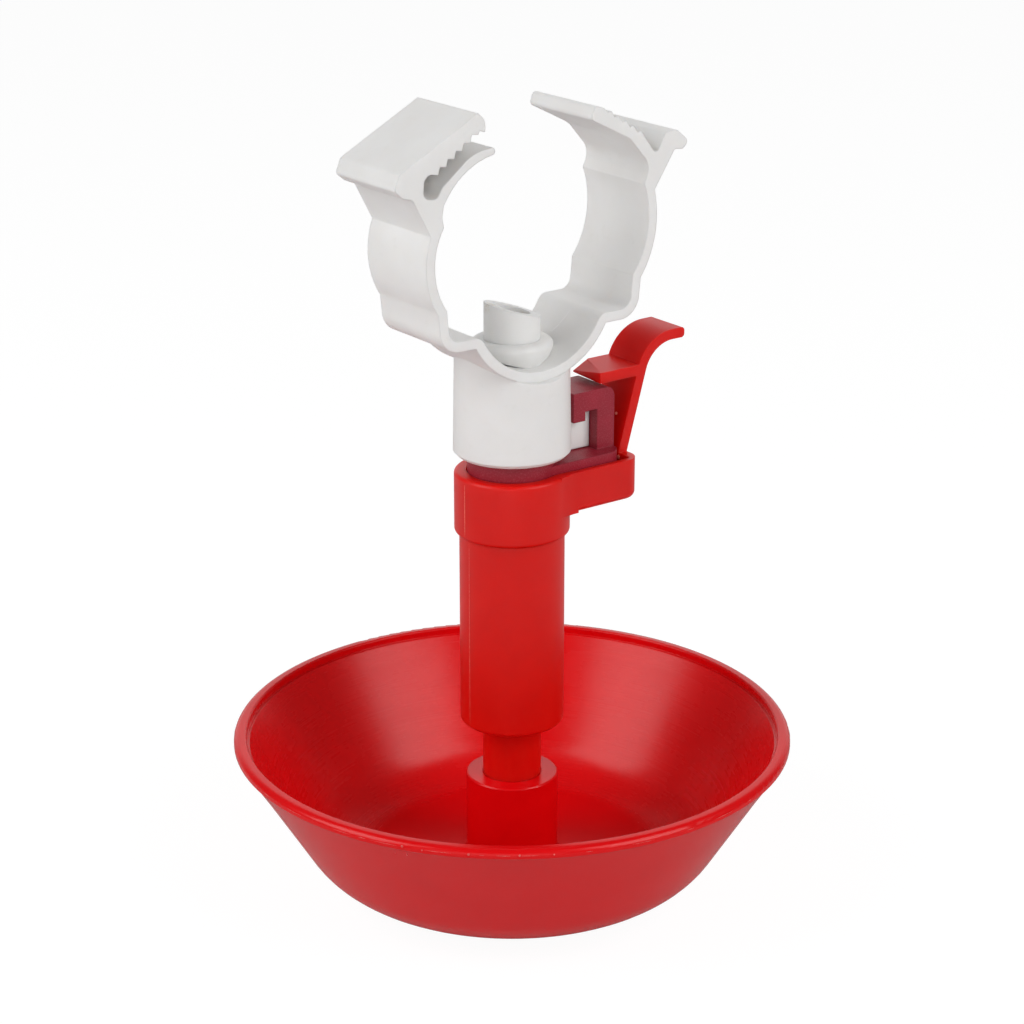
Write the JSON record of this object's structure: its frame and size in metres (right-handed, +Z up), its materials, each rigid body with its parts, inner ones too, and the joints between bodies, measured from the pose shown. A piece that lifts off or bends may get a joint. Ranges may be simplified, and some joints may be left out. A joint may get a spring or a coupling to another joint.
{
  "type": "hanging cup drinker for poultry",
  "caption": "Hanging poultry drinking cup: clip-on pipe saddle with oblique spigot, plug-in valve body with lever latch, and a cup on a sprung stem that shuts the valve as it fills.",
  "frame": {"origin": "centre of the flat underside of the cup, on the axis of the stem", "axes": "+Z up along the stem and the spigot, +X along the arm of the latch, Y along the water pipe"},
  "size_m": [0.097, 0.097, 0.1374],
  "materials": {
    "white_plastic": "satin",
    "seal_rubber": "satin",
    "maroon_plastic": "satin",
    "red_plastic": "satin",
    "cup_plastic": "gloss",
    "black_rubber": "matt",
    "stainless": "satin"
  },
  "bodies": {
    "head": {"saddle_clamp": "white_plastic", "spigot_seal": "seal_rubber", "valve_body": "maroon_plastic", "upper_o_ring": "black_rubber", "lower_o_ring": "black_rubber", "valve_seat": "black_rubber", "latch_sleeve": "red_plastic", "lift_spring": "stainless"},
    "carrier": {"spring_washer": "stainless"},
    "cup": {"drinking_cup": "cup_plastic", "cup_screw": "stainless", "stem_tube": "red_plastic", "valve_rod": "stainless", "valve_disc": "black_rubber"}
  },
  "joints": [
    {"name": "cup_travel", "type": "slide", "parent": "head", "child": "carrier", "axis": [0, 0, 1], "range_m": [-0.0025, 0], "stiffness_N_per_m": 250, "springref_m": 0.0036, "deforming": ["lift_spring"]},
    {"name": "cup_spin", "type": "hinge", "parent": "carrier", "child": "cup", "pos_m": [0, 0, 0.0621], "axis": [0, 0, 1], "continuous": true}
  ]
}
